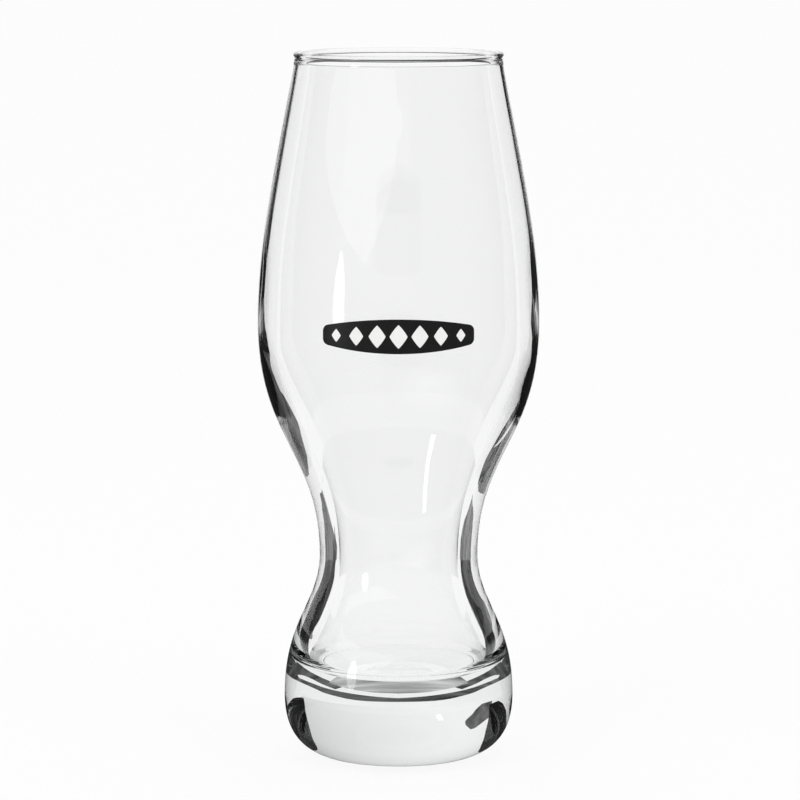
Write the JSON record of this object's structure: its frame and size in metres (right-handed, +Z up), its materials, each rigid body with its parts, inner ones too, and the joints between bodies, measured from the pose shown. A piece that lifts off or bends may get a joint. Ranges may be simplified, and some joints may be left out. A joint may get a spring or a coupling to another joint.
{
  "type": "beer glass",
  "caption": "Tall contoured clear beer glass with a heavy solid foot, drawn-in waist, full belly, beaded rim and a small black and white lozenge print.",
  "frame": {"origin": "centre of the standing ring, on the plane the glass stands on", "axes": "+Z up along the axis of the glass towards the rim, -Y towards the print on the front of the belly, +X to the right as seen from the front"},
  "size_m": [0.0796, 0.0806, 0.2],
  "materials": {
    "clear_glass": "clear colourless soda-lime glass, fire-polished",
    "black_ink": "black fired enamel ink, satin gloss",
    "white_ink": "opaque white fired enamel ink, satin gloss"
  },
  "bodies": {
    "root": {"glass_body": "clear_glass", "print_ground": "black_ink", "print_lozenge_1": "white_ink", "print_lozenge_2": "white_ink", "print_lozenge_3": "white_ink", "print_lozenge_4": "white_ink", "print_lozenge_5": "white_ink", "print_lozenge_6": "white_ink", "print_lozenge_7": "white_ink"}
  },
  "joints": []
}
